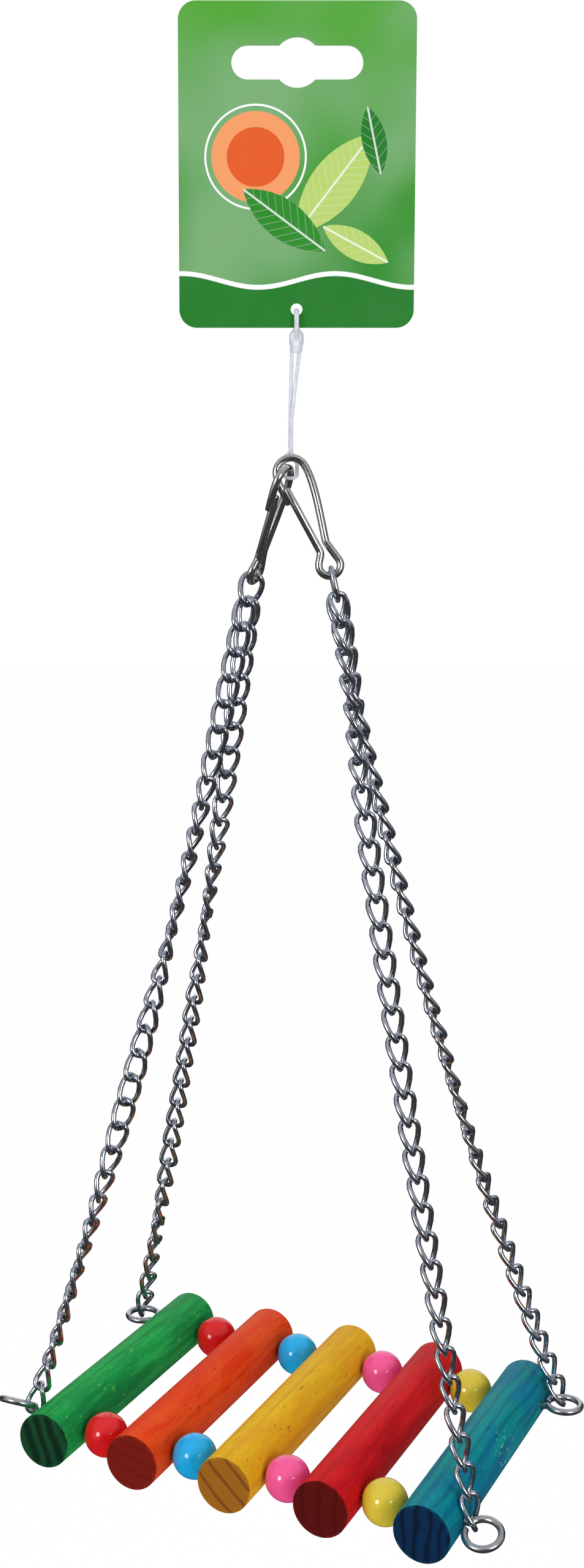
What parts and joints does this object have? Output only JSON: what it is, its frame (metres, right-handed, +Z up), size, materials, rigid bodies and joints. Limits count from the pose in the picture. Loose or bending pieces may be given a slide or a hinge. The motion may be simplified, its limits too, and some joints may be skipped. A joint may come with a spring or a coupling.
{
  "type": "bird hanging bridge",
  "caption": "Wooden bird bridge of dyed dowels and beads on two wires, hung by four curb chains from two snap hooks, a plastic loop and a header card.",
  "frame": {"origin": "top of the round bulge of the card's peg slot, where a display peg carries the card", "axes": "+Z up along the plumb line, +X to the right along the card's width, +Y from the card's printed face to its back"},
  "size_m": [0.163, 0.1355, 0.3829],
  "materials": {
    "printed_card": "satin printed board",
    "clear_plastic": "milky translucent",
    "hook_nickel": "nickel plated",
    "chain_nickel": "bright plated",
    "galvanised_wire": "dull galvanised",
    "wood_green": "dyed, unvarnished",
    "wood_orange": "dyed, unvarnished",
    "wood_yellow": "dyed, unvarnished",
    "wood_red": "dyed, unvarnished",
    "wood_blue": "dyed, unvarnished",
    "bead_red": "glossy lacquer",
    "bead_blue": "glossy lacquer",
    "bead_pink": "glossy lacquer",
    "bead_yellow": "glossy lacquer"
  },
  "bodies": {
    "card": {"header_card": "printed_card"},
    "loop": {"tag_loop": "clear_plastic"},
    "hooks": {"hook_right": "hook_nickel", "hook_left": "hook_nickel"},
    "gate_right": {"hook_right_gate": "hook_nickel"},
    "gate_left": {"hook_left_gate": "hook_nickel"},
    "ladder": {"top_link_left": "chain_nickel", "top_link_right": "chain_nickel", "chain_front_left": "chain_nickel", "chain_front_right": "chain_nickel", "chain_back_left": "chain_nickel", "chain_back_right": "chain_nickel", "wire_front": "galvanised_wire", "wire_back": "galvanised_wire", "rung_green": "wood_green", "rung_orange": "wood_orange", "rung_yellow": "wood_yellow", "rung_red": "wood_red", "rung_blue": "wood_blue"},
    "bead_front_red": {"bead_front_red": "bead_red"},
    "bead_front_blue": {"bead_front_blue": "bead_blue"},
    "bead_front_pink": {"bead_front_pink": "bead_pink"},
    "bead_front_yellow": {"bead_front_yellow": "bead_yellow"},
    "bead_back_red": {"bead_back_red": "bead_red"},
    "bead_back_blue": {"bead_back_blue": "bead_blue"},
    "bead_back_pink": {"bead_back_pink": "bead_pink"},
    "bead_back_yellow": {"bead_back_yellow": "bead_yellow"}
  },
  "joints": [
    {"name": "loop_swing", "type": "hinge", "parent": "card", "child": "loop", "pos_m": [0, 0, -0.0669], "axis": [0, 1, 0], "range_deg": [-15, 15]},
    {"name": "hook_swing", "type": "hinge", "parent": "loop", "child": "hooks", "pos_m": [-0.0014, 0, -0.1079], "axis": [0, 1, 0], "range_deg": [-15, 15]},
    {"name": "ladder_swing", "type": "hinge", "parent": "hooks", "child": "ladder", "pos_m": [-0.00101, 0.00048, -0.13318], "axis": [0.841, -0.5355, 0.0766], "range_deg": [-20, 20]},
    {"name": "gate_right_open", "type": "hinge", "parent": "hooks", "child": "gate_right", "pos_m": [0.00542, -0.00516, -0.12668], "axis": [0, 0.994, -0.1097], "range_deg": [0, 13], "stiffness_Nm_per_rad": 0.02},
    {"name": "gate_left_open", "type": "hinge", "parent": "hooks", "child": "gate_left", "pos_m": [-0.00939, 0.00354, -0.12848], "axis": [-0.8409, 0.3744, 0.3907], "range_deg": [0, 10], "stiffness_Nm_per_rad": 0.02},
    {"name": "bead_front_red_spin", "type": "hinge", "parent": "ladder", "child": "bead_front_red", "pos_m": [-0.05109, -0.01283, -0.36659], "axis": [0.9033, -0.4289, 0], "continuous": true},
    {"name": "bead_front_blue_spin", "type": "hinge", "parent": "ladder", "child": "bead_front_blue", "pos_m": [-0.02661, -0.02445, -0.36659], "axis": [0.9033, -0.4289, 0], "continuous": true},
    {"name": "bead_front_pink_spin", "type": "hinge", "parent": "ladder", "child": "bead_front_pink", "pos_m": [-0.00213, -0.03607, -0.36659], "axis": [0.9033, -0.4289, 0], "continuous": true},
    {"name": "bead_front_yellow_spin", "type": "hinge", "parent": "ladder", "child": "bead_front_yellow", "pos_m": [0.02235, -0.0477, -0.36659], "axis": [0.9033, -0.4289, 0], "continuous": true},
    {"name": "bead_back_red_spin", "type": "hinge", "parent": "ladder", "child": "bead_back_red", "pos_m": [-0.02235, 0.0477, -0.36659], "axis": [0.9033, -0.4289, 0], "continuous": true},
    {"name": "bead_back_blue_spin", "type": "hinge", "parent": "ladder", "child": "bead_back_blue", "pos_m": [0.00213, 0.03607, -0.36659], "axis": [0.9033, -0.4289, 0], "continuous": true},
    {"name": "bead_back_pink_spin", "type": "hinge", "parent": "ladder", "child": "bead_back_pink", "pos_m": [0.02661, 0.02445, -0.36659], "axis": [0.9033, -0.4289, 0], "continuous": true},
    {"name": "bead_back_yellow_spin", "type": "hinge", "parent": "ladder", "child": "bead_back_yellow", "pos_m": [0.05109, 0.01283, -0.36659], "axis": [0.9033, -0.4289, 0], "continuous": true}
  ]
}
